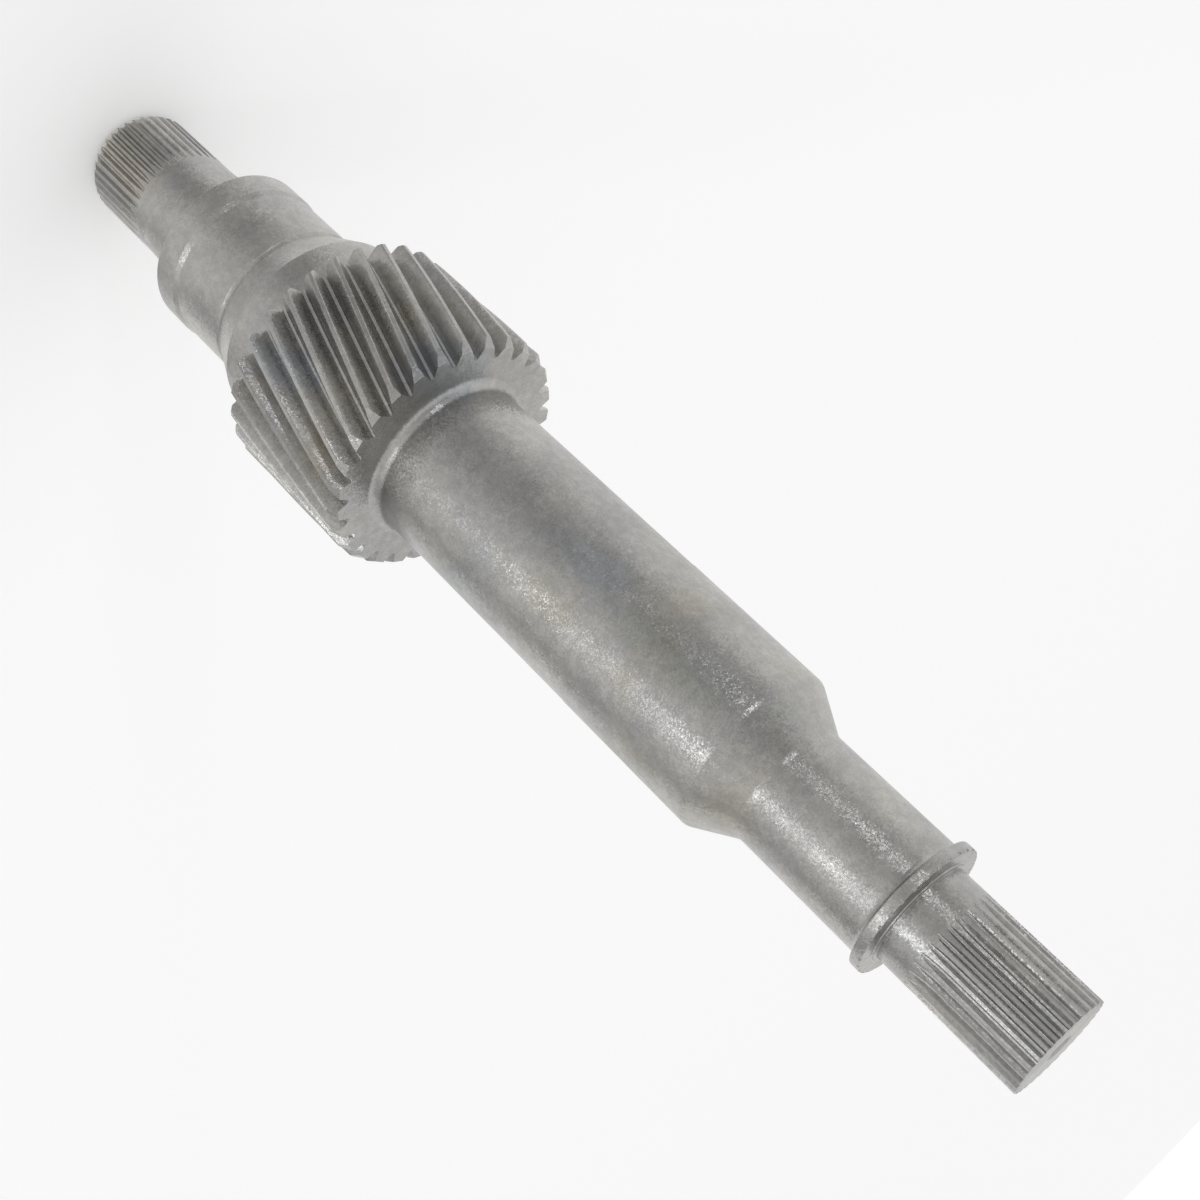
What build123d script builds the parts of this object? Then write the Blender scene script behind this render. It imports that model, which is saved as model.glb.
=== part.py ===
from build123d import *
from math import acos, atan, cos, pi, radians, sin, sqrt, tan
import os

# One-piece splined gear shaft: a right-hand helical pinion cut on the shaft, a straight spline at
# each end, a ground bearing seat behind the pinion and a smaller journal towards the output end.
# The shaft stands on its far end at z = 0, its axis is Z, and all sizes are in millimetres.

# Far end: spline, neck and thrust collar
far_spline_diameter = 29.6
far_spline_teeth = 39
far_spline_length = 24.2
far_lead_length = 3.2
far_lead_depth = 1.6
far_neck_length = 3.6
far_flare_length = 18.4
far_flare_angle = 3.5
far_flare_chamfer = 1.8
thrust_collar_width = 7.6
thrust_collar_height = 0.45
thrust_ramp_length = 1.7

# Bearing seat, its grinding relief and the hub behind the pinion
seat_diameter = 43.5
seat_length = 17.6
relief_width = 1.0
relief_depth = 0.25
hub_flare_angle = 23.8
hub_length = 11.2

# Helical pinion
gear_module = 2.0
gear_teeth = 29
gear_width = 42.5
helix_angle = 17.7
pressure_angle = 25.0
profile_shift = 0.1
gear_clocking = -4.0
hub_step = 2.2
front_bevel_length = 2.4
front_bevel_depth = 1.7
back_bevel = 1.0

# Long body, shoulder cone and journal
body_diameter = 40.86
body_length = 66.2
ground_length = 38.5
ground_diameter = 41.36
body_fillet = 2.5
shoulder_angle = 30.0
shoulder_easing = 0.8
journal_diameter = 29.15
journal_length = 33.8

# Thin collar, neck and near spline
stop_collar_diameter = 33.0
stop_collar_width = 2.5
stop_collar_fillet = 1.8
boss_height = 0.8
boss_thickness = 0.4
near_neck_length = 7.1
near_spline_diameter = 24.0
near_spline_teeth = 31
near_spline_length = 28.4

# Hobbed splines, the same cutter form on both ends
spline_flank_angle = 30.0
spline_land_share = 0.28
hob_radius = 22.0

# Centre holes, 60 degree countersink
centre_pilot_diameter = 3.15
centre_mouth_diameter = 6.7
centre_depth = 9.0

# Pinion radii, from the helical gear formulas
transverse_module = gear_module / cos(radians(helix_angle))
transverse_pressure = atan(tan(radians(pressure_angle)) / cos(radians(helix_angle)))
pitch_radius = transverse_module * gear_teeth / 2
base_radius = pitch_radius * cos(transverse_pressure)
tip_radius = pitch_radius + gear_module * (1 + profile_shift)
root_radius = pitch_radius - gear_module * (1.25 - profile_shift)
gear_lead = 2 * pi * pitch_radius / tan(radians(helix_angle))

# Other radii
far_radius = far_spline_diameter / 2
flare_radius = far_radius + far_flare_length * tan(radians(far_flare_angle))
seat_radius = seat_diameter / 2
collar_radius = seat_radius + thrust_collar_height
relief_radius = seat_radius - relief_depth
hub_radius = root_radius - hub_step
body_radius = body_diameter / 2
ground_radius = ground_diameter / 2
journal_radius = journal_diameter / 2
stop_radius = stop_collar_diameter / 2
near_radius = near_spline_diameter / 2
boss_radius = near_radius + boss_height

# Stations along the axis, from the far end up
far_neck_z = far_spline_length + far_neck_length
collar_z = far_neck_z + far_flare_length
collar_top_z = collar_z + thrust_collar_width
seat_z = collar_top_z + thrust_ramp_length
relief_z = seat_z + seat_length
flare_z = relief_z + relief_width
hub_z = flare_z + (hub_radius - relief_radius) / tan(radians(hub_flare_angle))
gear_back_z = hub_z + hub_length
gear_front_z = gear_back_z + gear_width
ground_z = gear_front_z + body_length
shoulder_z = ground_z + ground_length
journal_z = shoulder_z + (ground_radius - journal_radius) / tan(radians(shoulder_angle))
stop_z = journal_z + journal_length
stop_face_z = stop_z + stop_collar_width
boss_z = stop_face_z + boss_thickness
near_groove_z = boss_z + near_neck_length
total_length = near_groove_z + near_spline_length


def corner(sketch, radius, z):
    """The vertex of the half profile at this radius and height."""
    return sketch.vertices().sort_by_distance(Vector(radius, z))[0]


def arc_points(centre_radius, centre_z, radius, start, end):
    """Fillet of the half profile as three facets, from one angle to the other."""
    angles = [radians(start + (end - start) * i / 3) for i in range(4)]
    return [(centre_radius + radius * cos(a), centre_z + radius * sin(a)) for a in angles]


def involute(radius):
    """Polar angle of the involute of the base circle at a radius, in radians."""
    roll = acos(min(1.0, base_radius / radius))
    return tan(roll) - roll


def flank_point(radius, side):
    """Point of a tooth gap's flank in the transverse plane; the gap is centred on +X."""
    half_tooth = (pi / 2 + 2 * profile_shift * tan(radians(pressure_angle))) / gear_teeth
    half_gap = pi / gear_teeth - half_tooth - involute(pitch_radius)
    angle = half_gap + involute(max(radius, base_radius))
    return (radius * cos(angle), side * radius * sin(angle))


def spline_depth(diameter, teeth):
    """Groove depth of a flat-root 30 degree spline, whose module is diameter / (teeth + 1)."""
    return 1.25 * diameter / (teeth + 1)


def hob_sweep(radius, depth, teeth, run_z, end_z, reach):
    """Solid swept by one hob tooth: straight in from the end face, then out along the hob's rim."""
    root = radius - depth
    half_top = pi * radius * (1 - spline_land_share) / teeth
    slope = tan(radians(spline_flank_angle))
    half_root = half_top - depth * slope
    height = depth * 1.4
    half_high = half_root + height * slope
    way = 1 if end_z > run_z else -1
    rim = acos(1 - (reach - root) / hob_radius)
    stop = (root + hob_radius * (1 - cos(rim)), run_z - way * hob_radius * sin(rim))
    middle = (root + hob_radius * (1 - cos(rim / 2)), run_z - way * hob_radius * sin(rim / 2))
    with BuildPart() as cutter:
        with BuildLine(Plane.XZ) as path:
            Line((root, end_z + way), (root, run_z))
            ThreePointArc((root, run_z), middle, stop)
        with BuildSketch(Plane((0, 0, end_z + way), x_dir=(1, 0, 0), z_dir=(0, 0, -way))):
            with BuildLine():
                Polyline(
                    (root, -half_root),
                    (root + height, -half_high),
                    (root + height, half_high),
                    (root, half_root),
                    close=True,
                )
            make_face()
        sweep(path=path.line)
    return cutter.part


# Helical pinion: the transverse section of its teeth, turned along the lead, bevelled at both ends
with BuildSketch() as gear_section:
    Circle(tip_radius)
    with BuildSketch(mode=Mode.PRIVATE) as gap:
        with BuildLine():
            radii = (root_radius, pitch_radius, tip_radius + 0.3)
            right = Polyline(*[flank_point(r, -1) for r in radii])
            left = Polyline(*[flank_point(r, 1) for r in radii])
            Line(right @ 0, left @ 0)
            Line(right @ 1, left @ 1)
        make_face()
    with PolarLocations(0, gear_teeth):
        add(gap.sketch, mode=Mode.SUBTRACT)

with BuildPart() as pinion:
    for height in (0, gear_width / 2, gear_width):
        turn = gear_clocking + 360 * height / gear_lead
        with BuildSketch(Plane.XY.offset(gear_back_z + height).rotated((0, 0, turn))):
            add(gear_section.sketch)
    loft()
    with BuildSketch(Plane.XZ):
        with BuildLine():
            Polyline(
                (0, gear_back_z),
                (tip_radius - back_bevel, gear_back_z),
                (tip_radius, gear_back_z + back_bevel),
                (tip_radius, gear_front_z - front_bevel_length),
                (tip_radius - front_bevel_depth, gear_front_z),
                (0, gear_front_z),
                close=True,
            )
        make_face()
    revolve(axis=Axis.Z, mode=Mode.INTERSECT)

near_depth = spline_depth(near_spline_diameter, near_spline_teeth)
near_run = sqrt(2 * hob_radius * near_depth - near_depth**2)
near_hob = hob_sweep(
    near_radius, near_depth, near_spline_teeth, near_groove_z + near_run, total_length, stop_radius + 0.6
)

far_depth = spline_depth(far_spline_diameter, far_spline_teeth)
far_run = sqrt(2 * hob_radius * far_depth - far_depth**2)
far_hob = hob_sweep(
    far_radius, far_depth, far_spline_teeth, far_spline_length - far_run, 0, far_radius + 0.6
)

with BuildPart() as splined_shaft:
    # Turned form
    with BuildSketch(Plane.XZ) as turned:
        with BuildLine():
            Polyline(
                (0, 0),
                (far_radius - far_lead_depth, 0),
                (far_radius, far_lead_length),
                (far_radius, far_neck_z),
                (flare_radius, collar_z),
                (collar_radius, collar_z),
                (collar_radius, collar_top_z),
                (seat_radius, seat_z),
                (seat_radius, relief_z),
                (relief_radius, relief_z + relief_depth),
                (relief_radius, flare_z),
                (hub_radius, hub_z),
                (hub_radius, gear_back_z),
                (hub_radius, gear_front_z),
                *arc_points(body_radius + body_fillet, gear_front_z + body_fillet, body_fillet, 270, 180),
                (body_radius, ground_z),
                (ground_radius, ground_z),
                (ground_radius, shoulder_z),
                (journal_radius, journal_z),
                *arc_points(journal_radius + stop_collar_fillet, stop_z - stop_collar_fillet,
                            stop_collar_fillet, 180, 90),
                (stop_radius, stop_z),
                (stop_radius, stop_face_z),
                (boss_radius, stop_face_z),
                (boss_radius, boss_z),
                (near_radius, boss_z),
                (near_radius, total_length),
                (0, total_length),
                close=True,
            )
        make_face()
        chamfer(corner(turned, flare_radius, collar_z), far_flare_chamfer)
        chamfer(corner(turned, ground_radius, shoulder_z), shoulder_easing)
        chamfer(corner(turned, journal_radius, journal_z), shoulder_easing)
    revolve(axis=Axis.Z)
    add(pinion.part)

    # Splines with a land on +X, the hob's run-out, and the nicks it leaves on the stop collar
    with PolarLocations(0, near_spline_teeth, start_angle=180 / near_spline_teeth):
        add(near_hob, mode=Mode.SUBTRACT)
    with PolarLocations(0, far_spline_teeth, start_angle=180 / far_spline_teeth):
        add(far_hob, mode=Mode.SUBTRACT)

    # Centre holes
    with Locations(Plane((0, 0, total_length)), Plane((0, 0, 0), z_dir=(0, 0, -1))):
        CounterSinkHole(
            centre_pilot_diameter / 2, centre_mouth_diameter / 2, centre_depth, counter_sink_angle=60
        )

splined_shaft.part.label = "splined_shaft"
os.makedirs("parts", exist_ok=True)
export_step(splined_shaft.part, "parts/splined_shaft.step")
print("length", round(total_length, 2), "tip diameter", round(2 * tip_radius, 2), "solids",
      len(splined_shaft.part.solids()), "valid", splined_shaft.part.is_valid)
print("volume cm3", round(splined_shaft.part.volume / 1000, 2))
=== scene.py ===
# %% [markdown]
# # A splined gear shaft
# This shaft is turned from one steel bar, its pinion and its two splines are cut into it, and then it is
# hardened and ground where bearings sit. The scene makes it in the same order: first the turned blank, then
# the cutters, then one cut after the other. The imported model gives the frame, and everything is in metres.

# %% Load the frame
import bpy
from math import acos, atan, cos, pi, radians, sin, sqrt, tan
from mathutils import Matrix, Vector


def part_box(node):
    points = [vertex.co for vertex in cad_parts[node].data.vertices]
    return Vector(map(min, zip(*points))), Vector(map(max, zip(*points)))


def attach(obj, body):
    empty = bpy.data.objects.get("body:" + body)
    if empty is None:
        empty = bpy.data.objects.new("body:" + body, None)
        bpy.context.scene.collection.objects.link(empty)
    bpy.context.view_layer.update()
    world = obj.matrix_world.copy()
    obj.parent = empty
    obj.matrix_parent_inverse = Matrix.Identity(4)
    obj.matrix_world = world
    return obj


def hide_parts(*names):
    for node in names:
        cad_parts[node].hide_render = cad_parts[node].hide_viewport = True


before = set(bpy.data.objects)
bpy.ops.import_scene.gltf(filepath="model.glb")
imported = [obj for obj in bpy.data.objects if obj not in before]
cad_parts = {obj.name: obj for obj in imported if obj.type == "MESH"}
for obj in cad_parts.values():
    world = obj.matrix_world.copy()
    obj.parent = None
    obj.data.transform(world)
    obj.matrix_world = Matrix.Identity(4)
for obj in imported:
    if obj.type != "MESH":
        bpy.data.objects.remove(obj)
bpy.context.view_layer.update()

low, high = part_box("splined_shaft")
height = high.z - low.z
mm = 0.001
print("shaft from", round(low.z / mm, 2), "to", round(high.z / mm, 2), "mm along Z")

# %% [markdown]
# ## Working in edit mode
# Each piece below starts as a primitive and is shaped with edit-mode operators, as by hand. These small
# helpers keep the cells short: one starts a wire at a point, one draws it on through more points, and
# one picks vertices by place.

# %% Helpers for edit mode
def start_wire(name, point):
    """A new mesh that is a single vertex at a point, left in edit mode."""
    bpy.ops.object.select_all(action="DESELECT")
    bpy.ops.mesh.primitive_plane_add(size=mm, location=(0, 0, 0))
    wire = bpy.context.object
    wire.name = name
    bpy.ops.object.mode_set(mode="EDIT")
    bpy.ops.mesh.select_all(action="SELECT")
    bpy.ops.mesh.merge(type="CENTER")
    bpy.ops.transform.translate(value=point)
    return wire


def draw_through(points):
    """Extrude the selected vertex from point to point."""
    for here, there in zip(points, points[1:]):
        step = Vector(there) - Vector(here)
        bpy.ops.mesh.extrude_region_move(TRANSFORM_OT_translate={"value": step})


def select_near(piece, points, reach=0.01 * mm):
    """Select only the vertices that lie at one of these points."""
    bpy.ops.mesh.select_all(action="DESELECT")
    bpy.ops.object.mode_set(mode="OBJECT")
    for vertex in piece.data.vertices:
        vertex.select = any((vertex.co - Vector(p)).length < reach for p in points)
    bpy.ops.object.mode_set(mode="EDIT")
    bpy.ops.mesh.select_mode(type="VERT")


def cut(piece, cutter):
    """Take the cutter's volume out of the piece with a Boolean modifier, and remove the cutter."""
    bpy.ops.object.select_all(action="DESELECT")
    bpy.context.view_layer.objects.active = piece
    piece.select_set(True)
    difference = piece.modifiers.new("cut", "BOOLEAN")
    difference.operation = "DIFFERENCE"
    difference.solver = "MANIFOLD"
    difference.object = cutter
    bpy.ops.object.modifier_apply(modifier=difference.name)
    bpy.data.objects.remove(cutter)
    print(piece.name, "after the cut:", len(piece.data.polygons), "faces")


# %% [markdown]
# ## Sizes along the shaft
# Radii and stations in millimetres, from the foot at the far end up to the face of the near spline.
# The pinion's radii follow from its module, tooth count and helix angle, as in any gear table.

# %% Radii and stations
far_radius, flare_radius, collar_radius = 14.8, 15.925, 22.2
seat_radius, relief_radius, body_radius, ground_radius = 21.75, 21.5, 20.48, 20.58
journal_radius, stop_radius, boss_radius, near_radius = 14.575, 16.5, 12.8, 12.0
far_neck_z, collar_z, collar_top_z, seat_z, relief_z = 27.8, 46.2, 53.8, 55.5, 73.1
flare_z, body_top_z, ground_top_z, journal_z = 74.1, 204.07, 242.57, 253.1
stop_z, stop_face_z, boss_z, groove_z = 286.94, 289.44, 289.84, 296.94

gear_teeth, gear_module, helix, pressure, shift = 29, 2.0, radians(17.7), radians(25), 0.1
gear_width, hub_step, hub_slope, hub_length = 42.5, 2.2, radians(23.8), 11.2
front_bevel_length, front_bevel_depth, back_bevel = 2.4, 1.7, 1.0
lead_in_depth, lead_in_length = 1.6, 3.2
centre_mouth, centre_pilot = 3.35, 1.575
centre_sink, centre_wall, centre_depth = 3.08, 8.1, 9.0
pitch_radius = gear_module / cos(helix) * gear_teeth / 2
base_radius = pitch_radius * cos(atan(tan(pressure) / cos(helix)))
tip_radius = pitch_radius + gear_module * (1 + shift)
root_radius = pitch_radius - gear_module * (1.25 - shift)
lead = 2 * pi * pitch_radius / tan(helix)
hub_radius = root_radius - hub_step
hub_z = flare_z + (hub_radius - relief_radius) / tan(hub_slope)
gear_back_z = hub_z + hub_length
gear_front_z = gear_back_z + gear_width
top_z = height / mm
print("pinion from", round(gear_back_z, 2), "to", round(gear_front_z, 2), "tip radius", round(tip_radius, 2))

# %% [markdown]
# ## The turned blank
# A lathe makes any shape that a half profile spun round the axis gives, so the blank is a wire spun once.
# Every corner of a turned part has a small radius from the tool tip, and the corners under load have large
# ones. They are rounded on the flat wire, where a vertex bevel gives a true arc, before the spin.

# %% The half profile
profile = [  # radius, height, rounding of the corner
    (0, centre_depth, 0), (centre_pilot, centre_wall, 0),
    (centre_pilot, centre_sink, 0), (centre_mouth, 0, 0.15),
    (far_radius - lead_in_depth, 0, 0.35), (far_radius, lead_in_length, 0.6),
    (far_radius, far_neck_z, 0.3), (flare_radius, collar_z, 3.0),
    (collar_radius, collar_z, 0.5), (collar_radius, collar_top_z, 0.25),
    (seat_radius, seat_z, 0.12), (seat_radius, relief_z, 0.25),
    (relief_radius, relief_z + 0.25, 0.1), (relief_radius, flare_z, 0.25),
    (hub_radius, hub_z, 1.2), (hub_radius, gear_back_z, 1.0),
    (tip_radius - back_bevel, gear_back_z, 0.2), (tip_radius, gear_back_z + back_bevel, 0.2),
    (tip_radius, gear_front_z - front_bevel_length, 0.2),
    (tip_radius - front_bevel_depth, gear_front_z, 0.15),
    (body_radius, gear_front_z, 2.5), (body_radius, body_top_z - 0.6, 0),
    (ground_radius, body_top_z, 0.1), (ground_radius, ground_top_z, 2.6),
    (journal_radius, journal_z, 3.0), (journal_radius, stop_z, 1.8),
    (stop_radius, stop_z, 0.3), (stop_radius, stop_face_z, 0.25),
    (boss_radius, stop_face_z, 0.3), (boss_radius, boss_z, 0.12),
    (near_radius, boss_z, 0.15), (near_radius, top_z, 0.12),
    (centre_mouth, top_z, 0.15), (centre_pilot, top_z - centre_sink, 0),
    (centre_pilot, top_z - centre_wall, 0), (0, top_z - centre_depth, 0),
]
corners = [Vector((r * mm, 0, z * mm)) for r, z, rounding in profile]
shaft = start_wire("shaft", corners[0])
draw_through(corners)
print("half profile with", len(corners), "corners")

# %% Round the corners of the wire
for (*_, rounding), before, here, after in zip(profile[1:-1], corners, corners[1:], corners[2:]):
    if rounding:
        turn = (here - before).angle(after - here)
        select_near(shaft, [here])
        bpy.ops.mesh.bevel(
            offset=rounding * tan(turn / 2) * mm,
            segments=max(2, round(rounding * 4)),
            affect="VERTICES",
        )

# %% Spin the blank
spin_steps = 240
bpy.ops.mesh.select_all(action="SELECT")
bpy.ops.mesh.spin(steps=spin_steps, angle=2 * pi, center=(0, 0, 0), axis=(0, 0, 1))
bpy.ops.mesh.select_all(action="SELECT")
bpy.ops.mesh.remove_doubles(threshold=0.001 * mm)
bpy.ops.mesh.normals_make_consistent(inside=False)
bpy.ops.object.mode_set(mode="OBJECT")
print("blank:", len(shaft.data.polygons), "faces")

# %% [markdown]
# ## The gaps of the pinion
# A hob leaves gaps with involute flanks and a rounded root, and each gap runs along a helix. The cutter is
# the outline of one gap, extruded up the shaft in short steps, each turned a little further along the lead.
# At the tip its outline opens out, so that it leaves a small radius along each tooth.

# %% The outline of one gap
def involute(radius):
    """Polar angle of the base circle's involute at a radius."""
    roll = acos(min(1.0, base_radius / radius))
    return tan(roll) - roll


def gap_angle(radius):
    """Half angle of the gap between two teeth at a radius."""
    half_tooth = (pi / 2 + 2 * shift * tan(pressure)) / gear_teeth
    return pi / gear_teeth - half_tooth - involute(pitch_radius) + involute(max(radius, base_radius))


def polar(radius, angle, z=0.0):
    return Vector((radius * cos(angle) * mm, radius * sin(angle) * mm, z * mm))


flank_foot, flank_stop, flank_steps = 0.75, 0.25, 8
flank_height = tip_radius - flank_stop - root_radius - flank_foot
flank = [root_radius + flank_foot + flank_height * i / flank_steps for i in range(flank_steps + 1)]
side = [(r, gap_angle(r)) for r in flank]
root_half = gap_angle(root_radius)
fillet = [
    (root_radius, root_half * 0.35),
    (root_radius + 0.08, root_half * 0.68),
    (root_radius + 0.3, root_half * 0.9),
]
opening = gap_angle(tip_radius)
mouth = [
    (tip_radius - 0.06, opening + 0.001),
    (tip_radius, opening + 0.0035),
    (tip_radius + 0.4, opening + 0.014),
]
half = fillet + side + mouth
gap = [(r, -a) for r, a in reversed(half)] + half
print("gap outline with", len(gap), "points, mouth", round(2 * opening * tip_radius, 2), "mm wide")

# %% The gap cutter, along the helix
reach_z, steps, clocking = 1.0, 16, radians(-4)
start_turn = clocking - 2 * pi * reach_z / lead
below = gear_back_z - reach_z
outline = [polar(r, a + start_turn, below) for r, a in gap]
gap_cutter = start_wire("gap_cutter", outline[0])
draw_through(outline)
bpy.ops.mesh.select_all(action="SELECT")
bpy.ops.mesh.edge_face_add()
rise = (gear_front_z - gear_back_z + 2 * reach_z) / steps
for step in range(steps):
    bpy.ops.mesh.extrude_region_move(TRANSFORM_OT_translate={"value": (0, 0, rise * mm)})
    bpy.ops.transform.rotate(
        value=-2 * pi * rise / lead, orient_axis="Z", center_override=(0, 0, 0)
    )

# %% One cutter for each gap
def ring_of(cutter, count):
    """Copy the cutter round the axis in edit mode, once for each gap."""
    bpy.ops.mesh.select_all(action="SELECT")
    for copy in range(count - 1):
        bpy.ops.mesh.duplicate()
        bpy.ops.transform.rotate(value=2 * pi / count, orient_axis="Z", center_override=(0, 0, 0))
    bpy.ops.mesh.select_all(action="SELECT")
    bpy.ops.mesh.normals_make_consistent(inside=False)
    bpy.ops.object.mode_set(mode="OBJECT")
    print(cutter.name, "has", len(cutter.data.polygons), "faces")


ring_of(gap_cutter, gear_teeth)
cut(shaft, gap_cutter)

# %% [markdown]
# ## The splines
# Both splines are hobbed: the tool comes in from the end, and where it stops its round rim leaves a scoop.
# The outline of one groove is extruded straight along the shaft and then swung round the hob's own
# centre, so the scoops and the nicks in the collar come out as they do on the machine.

# %% A groove cutter
hob_radius, land_share, flank_slope = 22.0, 0.28, tan(radians(30))
near_teeth, far_teeth, far_groove_z, hob_clearance = 31, 39, 24.2, 0.6


def groove_depth(radius, teeth):
    """Depth of a flat-root spline groove, 1.25 times its module."""
    return 1.25 * 2 * radius / (teeth + 1)


def scoop_run(depth):
    """Length of the scoop that the hob's rim leaves past the full depth."""
    return sqrt(2 * hob_radius * depth - depth**2)


def groove_cutter(name, radius, teeth, run_z, end_z, reach):
    """One cutter for each groove of a spline, from its end face to the scoop."""
    depth = groove_depth(radius, teeth)
    root = radius - depth
    way = 1 if end_z > run_z else -1
    half_top = pi * radius * (1 - land_share) / teeth
    half_root = half_top - depth * flank_slope
    edge = 0.06
    side = [
        (root, half_root * 0.45),
        (root + 0.03, half_root * 0.78),
        (root + 0.12, half_root + 0.12 * flank_slope),
        (radius - edge, half_top - edge * flank_slope),
        (radius - 0.2 * edge, half_top + 0.1 * edge),
        (radius + 0.5 * edge, half_top + 1.2 * edge),
        (root + depth * 1.45, half_top + 3 * edge),
    ]
    outline = [(r, -y) for r, y in reversed(side)] + side
    points = [Vector((r * mm, y * mm, (end_z + way) * mm)) for r, y in outline]
    cutter = start_wire(name, points[0])
    draw_through(points)
    bpy.ops.mesh.select_all(action="SELECT")
    bpy.ops.mesh.edge_face_add()
    run = (run_z - end_z - way) * mm
    bpy.ops.mesh.extrude_region_move(TRANSFORM_OT_translate={"value": (0, 0, run)})
    rim = acos(1 - (reach - root) / hob_radius)
    swings = 14
    for swing in range(swings):
        bpy.ops.mesh.extrude_region_move()
        bpy.ops.transform.rotate(
            value=way * rim / swings,
            orient_axis="Y",
            center_override=((root + hob_radius) * mm, 0, run_z * mm),
        )
    bpy.ops.mesh.select_all(action="SELECT")
    bpy.ops.transform.rotate(value=pi / teeth, orient_axis="Z", center_override=(0, 0, 0))
    ring_of(cutter, teeth)
    return cutter


# %% Cut the near spline
near_run_z = groove_z + scoop_run(groove_depth(near_radius, near_teeth))
near_reach = stop_radius + hob_clearance
cut(shaft, groove_cutter("near_hob", near_radius, near_teeth, near_run_z, top_z, near_reach))

# %% Cut the far spline
far_run_z = far_groove_z - scoop_run(groove_depth(far_radius, far_teeth))
far_reach = far_radius + hob_clearance
cut(shaft, groove_cutter("far_hob", far_radius, far_teeth, far_run_z, 0, far_reach))

# %% Smooth faces, sharp edges
bpy.ops.object.mode_set(mode="EDIT")
bpy.ops.mesh.select_all(action="SELECT")
bpy.ops.mesh.remove_doubles(threshold=0.0005 * mm)
bpy.ops.mesh.normals_make_consistent(inside=False)
bpy.ops.object.mode_set(mode="OBJECT")
bpy.ops.object.shade_smooth_by_angle(angle=radians(28))
even = shaft.modifiers.new("even", "WEIGHTED_NORMAL")
even.keep_sharp = True
bpy.ops.object.modifier_apply(modifier=even.name)
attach(shaft, "root")
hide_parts("splined_shaft")
tall = max(v.co.z for v in shaft.data.vertices)
wide = max(v.co.xy.length for v in shaft.data.vertices)
print("shaft", round(tall / mm, 3), "mm long,", round(2 * wide / mm, 3), "mm across the teeth")

# %% [markdown]
# ## The steel
# The shaft is one bar of case-hardened steel, blasted after hardening and ground where bearings sit. Its
# look is satin: a warm grey with faint brown, green and blue stains left by oil and heat, and a fine grain
# that breaks up the highlights. Every pattern reads Object coordinates, so the stains stay where they are
# on the shaft.

# %% Helpers for the steel's nodes
steel = bpy.data.materials.new("worn_steel")
steel.use_nodes = True
nodes, links = steel.node_tree.nodes, steel.node_tree.links
surface = nodes["Principled BSDF"]
place = nodes.new("ShaderNodeTexCoord").outputs["Object"]


def plug(value, socket):
    """Link a socket, or set a plain number or colour."""
    if isinstance(value, bpy.types.NodeSocket):
        links.new(value, socket)
    else:
        socket.default_value = value


def noise(scale, detail, roughness, shift=0.0):
    """Soft noise over the shaft, its scale in patches per metre."""
    mapping = nodes.new("ShaderNodeMapping")
    mapping.inputs["Location"].default_value = (shift, 0.7 * shift, 0.3 * shift)
    links.new(place, mapping.inputs["Vector"])
    texture = nodes.new("ShaderNodeTexNoise")
    texture.inputs["Scale"].default_value = scale
    texture.inputs["Detail"].default_value = detail
    texture.inputs["Roughness"].default_value = roughness
    links.new(mapping.outputs["Vector"], texture.inputs["Vector"])
    return texture.outputs["Fac"]


def remap(value, low, high, to_low=0.0, to_high=1.0):
    """Map a range of one value to another, held at both ends."""
    node = nodes.new("ShaderNodeMapRange")
    node.interpolation_type = "SMOOTHSTEP"
    plug(value, node.inputs["Value"])
    for name, number in (("From Min", low), ("From Max", high), ("To Min", to_low), ("To Max", to_high)):
        node.inputs[name].default_value = number
    return node.outputs["Result"]


def sums(kind, first, second):
    """Add, multiply or otherwise join two numbers."""
    node = nodes.new("ShaderNodeMath")
    node.operation = kind
    plug(first, node.inputs[0])
    plug(second, node.inputs[1])
    return node.outputs["Value"]


def tint(amount, below, above):
    """Blend two colours by an amount."""
    node = nodes.new("ShaderNodeMix")
    node.data_type = "RGBA"
    plug(amount, node.inputs["Factor"])
    plug(below, node.inputs["A"])
    plug(above, node.inputs["B"])
    return node.outputs["Result"]


# %% Colour: warm grey with faint stains
clouds = noise(45, 4, 0.6)
grey = tint(remap(clouds, 0.36, 0.66), (0.40, 0.395, 0.385, 1), (0.47, 0.455, 0.425, 1))
brown = remap(noise(38, 3, 0.55, shift=3.1), 0.55, 0.74, 0.0, 0.55)
grey = tint(brown, grey, (0.40, 0.365, 0.315, 1))
green = remap(noise(30, 2, 0.5, shift=7.7), 0.58, 0.72, 0.0, 0.4)
grey = tint(green, grey, (0.375, 0.40, 0.345, 1))
blue = remap(noise(26, 2, 0.5, shift=12.3), 0.57, 0.72, 0.0, 0.5)
grey = tint(blue, grey, (0.36, 0.385, 0.42, 1))
specks = remap(noise(420, 3, 0.7, shift=1.9), 0.35, 0.7, 0.9, 1.06)
fine = remap(noise(2600, 2, 0.6, shift=5.3), 0.3, 0.7, 0.94, 1.05)
shade = sums("MULTIPLY", specks, fine)

# %% Roughness: satin and a little uneven
wear = remap(noise(60, 4, 0.6, shift=21.0), 0.35, 0.68, 0.27, 0.40)
grain = remap(noise(1900, 2, 0.6, shift=9.4), 0.3, 0.7, -0.05, 0.05)
gloss = sums("ADD", wear, grain)

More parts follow.
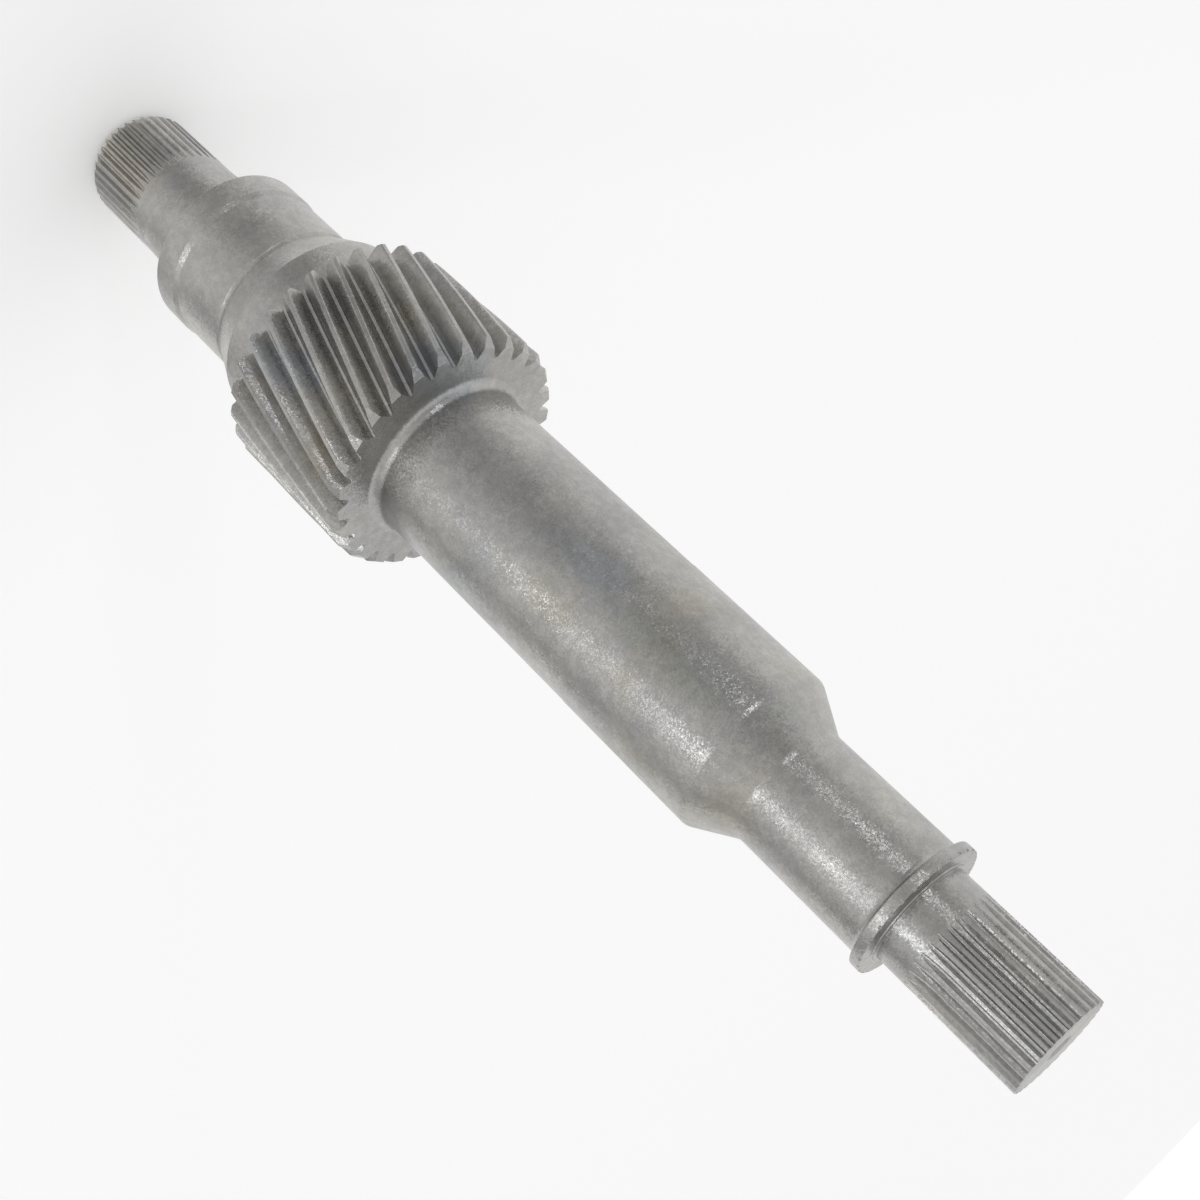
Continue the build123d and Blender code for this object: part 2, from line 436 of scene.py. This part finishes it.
# %% Grain that breaks the highlights
grain_scale, grain_tilt, ripple_strength, ripple_height = 2900, 0.16, 0.25, 0.00006
cells = nodes.new("ShaderNodeTexVoronoi")
cells.inputs["Scale"].default_value = grain_scale
links.new(place, cells.inputs["Vector"])
lean = nodes.new("ShaderNodeVectorMath")
lean.operation = "SUBTRACT"
links.new(cells.outputs["Color"], lean.inputs[0])
lean.inputs[1].default_value = (0.5, 0.5, 0.5)
small_lean = nodes.new("ShaderNodeVectorMath")
small_lean.operation = "SCALE"
small_lean.inputs["Scale"].default_value = grain_tilt
links.new(lean.outputs["Vector"], small_lean.inputs[0])
normal = nodes.new("ShaderNodeNewGeometry").outputs["Normal"]
tilted = nodes.new("ShaderNodeVectorMath")
tilted.operation = "ADD"
links.new(normal, tilted.inputs[0])
links.new(small_lean.outputs["Vector"], tilted.inputs[1])
unit = nodes.new("ShaderNodeVectorMath")
unit.operation = "NORMALIZE"
links.new(tilted.outputs["Vector"], unit.inputs[0])
bump = nodes.new("ShaderNodeBump")
bump.inputs["Strength"].default_value = ripple_strength
bump.inputs["Distance"].default_value = ripple_height
links.new(noise(240, 4, 0.6, shift=15.0), bump.inputs["Height"])
links.new(unit.outputs["Vector"], bump.inputs["Normal"])

# %% Finish the steel
multiply = nodes.new("ShaderNodeVectorMath")
multiply.operation = "SCALE"
links.new(grey, multiply.inputs[0])
plug(shade, multiply.inputs["Scale"])
links.new(multiply.outputs["Vector"], surface.inputs["Base Color"])
surface.inputs["Metallic"].default_value = 1.0
plug(gloss, surface.inputs["Roughness"])
links.new(bump.outputs["Normal"], surface.inputs["Normal"])
shaft.data.materials.clear()
shaft.data.materials.append(steel)
print("steel has", len(nodes), "nodes")

# %% [markdown]
# ## The studio
# Ground steel shows its surroundings more than its own colour, so the studio is part of the finish. The
# floor and the backdrop are plain and white. What the steel mirrors is a pale room with soft darker bands
# and two strip lamps, which draw the long streaks on the round body.

# %% A pale floor and a white backdrop
def stage_paint(name, piece, colour, glow=0.0):
    """A plain matt paint for the floor or the backdrop."""
    paint = bpy.data.materials.new(name)
    paint.use_nodes = True
    coat = paint.node_tree.nodes["Principled BSDF"]
    coat.inputs["Base Color"].default_value = (*colour, 1)
    coat.inputs["Roughness"].default_value = 0.9
    coat.inputs["Emission Color"].default_value = (1, 1, 1, 1)
    coat.inputs["Emission Strength"].default_value = glow
    piece.data.materials.append(paint)


studio_radius, studio_sides, backdrop_height, backdrop_middle = 30.0, 96, 30.0, 14.9
bpy.ops.object.select_all(action="DESELECT")
bpy.ops.mesh.primitive_circle_add(
    vertices=studio_sides, radius=studio_radius, fill_type="NGON", location=(0, 0, 0)
)
floor = bpy.context.object
floor.name = "floor"
stage_paint("pale_floor", floor, (0.92, 0.92, 0.92), 0.14)
bpy.ops.mesh.primitive_cylinder_add(
    vertices=studio_sides,
    radius=studio_radius,
    depth=backdrop_height,
    end_fill_type="NOTHING",
    location=(0, 0, backdrop_middle),
)
backdrop = bpy.context.object
backdrop.name = "backdrop"
stage_paint("white_backdrop", backdrop, (0, 0, 0), 1.0)
floor.visible_glossy = floor.visible_shadow = False
backdrop.visible_glossy = backdrop.visible_diffuse = backdrop.visible_shadow = False

# %% The room that the steel mirrors
camera_side = radians(-31.35)
room = bpy.data.worlds.new("room")
bpy.context.scene.world = room
room.use_nodes = True
room_nodes, room_links = room.node_tree.nodes, room.node_tree.links
direction = room_nodes.new("ShaderNodeTexCoord")
turn = room_nodes.new("ShaderNodeMapping")
turn.inputs["Rotation"].default_value = (0, 0, -camera_side)
parts = room_nodes.new("ShaderNodeSeparateXYZ")
around = room_nodes.new("ShaderNodeMath")
around.operation = "ARCTAN2"
share = room_nodes.new("ShaderNodeMapRange")
share.inputs["From Min"].default_value = -pi
share.inputs["From Max"].default_value = pi
bands = room_nodes.new("ShaderNodeValToRGB")
bands.color_ramp.interpolation = "B_SPLINE"
stops = [  # degrees round from the camera's side, brightness
    (-180, 0.85), (-140, 1.0), (-100, 1.0), (-80, 0.95), (-62, 0.55), (-40, 0.36),
    (-15, 0.5), (5, 0.72), (25, 0.85), (45, 0.85), (80, 0.85), (92, 0.45),
    (104, 0.45), (120, 1.1), (150, 1.1), (180, 0.85),
]
ramp = bands.color_ramp
while len(ramp.elements) < len(stops):
    ramp.elements.new(0.5)
for element, (angle, level) in zip(ramp.elements, stops):
    element.position = (angle + 180) / 360
    element.color = (level, level, level, 1)
steep = room_nodes.new("ShaderNodeMapRange")
steep.interpolation_type = "SMOOTHSTEP"
steep.inputs["From Min"].default_value = 0.75
steep.inputs["From Max"].default_value = 0.97
blend = room_nodes.new("ShaderNodeMix")
blend.data_type = "RGBA"
blend.inputs["B"].default_value = (1, 1, 1, 1)
room_links.new(direction.outputs["Generated"], turn.inputs["Vector"])
room_links.new(turn.outputs["Vector"], parts.inputs["Vector"])
room_links.new(parts.outputs["Y"], around.inputs[0])
room_links.new(parts.outputs["X"], around.inputs[1])
room_links.new(around.outputs["Value"], share.inputs["Value"])
room_links.new(share.outputs["Result"], bands.inputs["Fac"])
room_links.new(parts.outputs["Z"], steep.inputs["Value"])
room_links.new(steep.outputs["Result"], blend.inputs["Factor"])
room_links.new(bands.outputs["Color"], blend.inputs["A"])
room_links.new(blend.outputs["Result"], room_nodes["Background"].inputs["Color"])
room_nodes["Background"].inputs["Strength"].default_value = 1.0

# %% Two strip lamps
def strip_lamp(name, angle, bottom, top, width, radiance, colour, distance=2.5):
    """A soft upright strip turned towards the shaft; bottom and top are its heights as slopes."""
    light = bpy.data.lights.new(name, "AREA")
    light.shape = "RECTANGLE"
    light.size, light.size_y = width, (top - bottom) * distance
    light.energy, light.color = radiance * pi * light.size * light.size_y, colour
    lamp = bpy.data.objects.new(name, light)
    bpy.context.scene.collection.objects.link(lamp)
    spot = Vector((distance * cos(angle), distance * sin(angle), height / 2 + distance * (bottom + top) / 2))
    facing = Vector((spot.x, spot.y, 0)).to_track_quat("Z", "Y").to_matrix()
    lamp.matrix_world = Matrix.Translation(spot) @ facing.to_4x4()
    lamp.visible_camera = False
    return lamp


strip_lamp("strip_a", camera_side + radians(44), -0.40, 0.45, 0.30, 4.0, (0.94, 0.96, 1.0))
strip_lamp("strip_b", camera_side - radians(36), -0.22, 0.45, 0.20, 5.0, (0.92, 0.95, 1.0))

# %% [markdown]
# ## The camera
# The camera stands close and a little above, and is rolled so that the upright shaft lies on a diagonal
# with its near spline foremost. At this distance the near end is drawn clearly larger than the far end.

# %% The camera
camera_distance, camera_roll, focal_length, sensor = 0.370796, radians(133.875), 50.32, 36
aim = Vector((-0.00045, -0.00074, 0.19235))
back = Vector((0.767737, -0.467718, 0.437978)).normalized()
camera_data = bpy.data.cameras.new("camera")
camera = bpy.data.objects.new("camera", camera_data)
bpy.context.scene.collection.objects.link(camera)
camera_data.lens = focal_length
camera_data.sensor_width = sensor
turned = back.to_track_quat("Z", "Y").to_matrix() @ Matrix.Rotation(camera_roll, 3, "Z")
camera.matrix_world = Matrix.Translation(aim + back * camera_distance) @ turned.to_4x4()
bpy.context.scene.camera = camera
print("camera axes", [tuple(round(c, 4) for c in turned.col[i]) for i in range(3)])
bpy.context.scene.view_settings.view_transform = "Standard"
